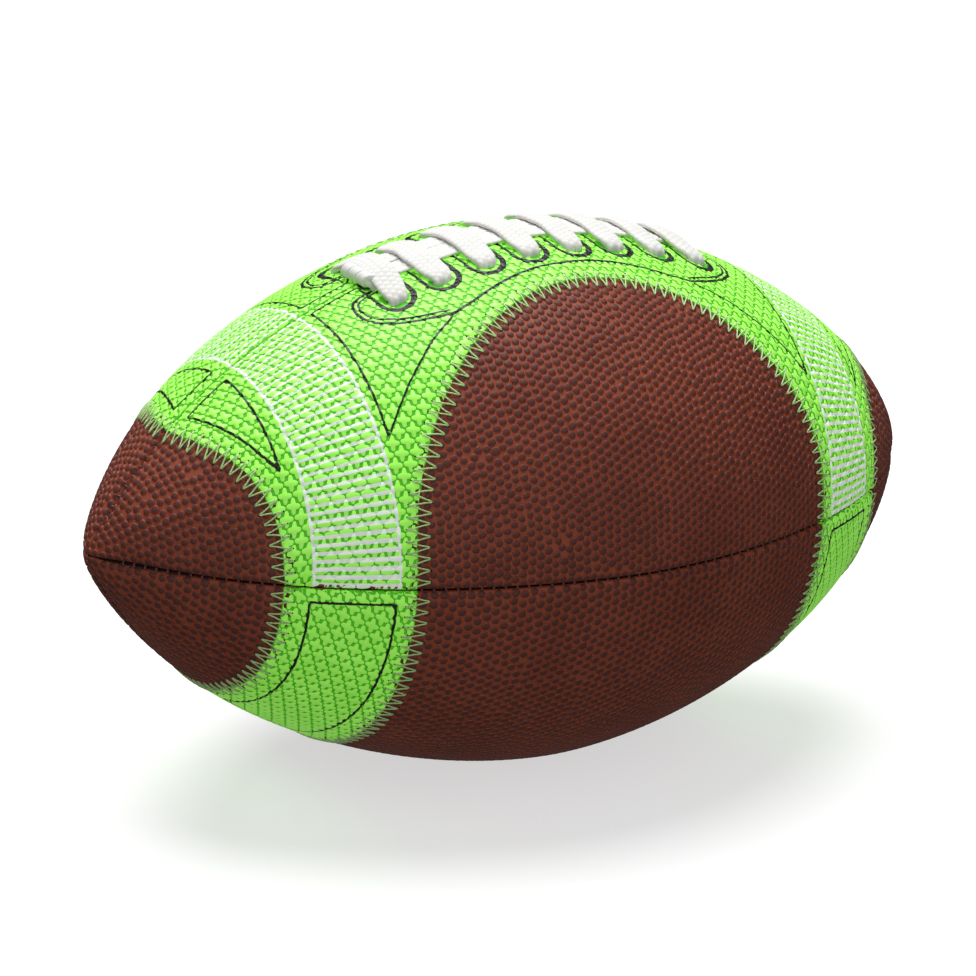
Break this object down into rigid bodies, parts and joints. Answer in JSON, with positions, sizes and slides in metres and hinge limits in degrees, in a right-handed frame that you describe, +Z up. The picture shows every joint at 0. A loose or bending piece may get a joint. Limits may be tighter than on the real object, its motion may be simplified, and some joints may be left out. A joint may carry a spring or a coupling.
{
  "type": "american football",
  "caption": "Junior american football with pebbled cover panels, raised grip overlays, flat lacing and a valved bladder.",
  "frame": {"origin": "where the belly touches the ground, below the middle of the ball's length", "axes": "+X along the ball from one nose to the other, +Y from the front panels to the back ones, +Z up through the laces"},
  "size_m": [0.2666, 0.152, 0.1581],
  "materials": {
    "cover": "pebbled satin",
    "lining": "woven",
    "grip": "embossed satin",
    "facing": "woven",
    "guard": "woven",
    "lace": "woven",
    "bladder": "matt",
    "valve_housing": "matt",
    "valve_core": "matt"
  },
  "bodies": {
    "root": {"top_front_cover": "cover", "top_back_cover": "cover", "bottom_front_cover": "cover", "bottom_back_cover": "cover", "top_front_lining": "lining", "top_back_lining": "lining", "bottom_front_lining": "lining", "bottom_back_lining": "lining", "top_front_grip": "grip", "top_back_grip": "grip", "bottom_front_left_grip": "grip", "bottom_front_right_grip": "grip", "bottom_back_left_grip": "grip", "bottom_back_right_grip": "grip", "front_lace_facing": "facing", "back_lace_facing": "facing", "lace_guard": "guard", "lace": "lace", "bladder": "bladder", "valve_housing": "valve_housing", "valve_core": "valve_core"}
  },
  "joints": []
}
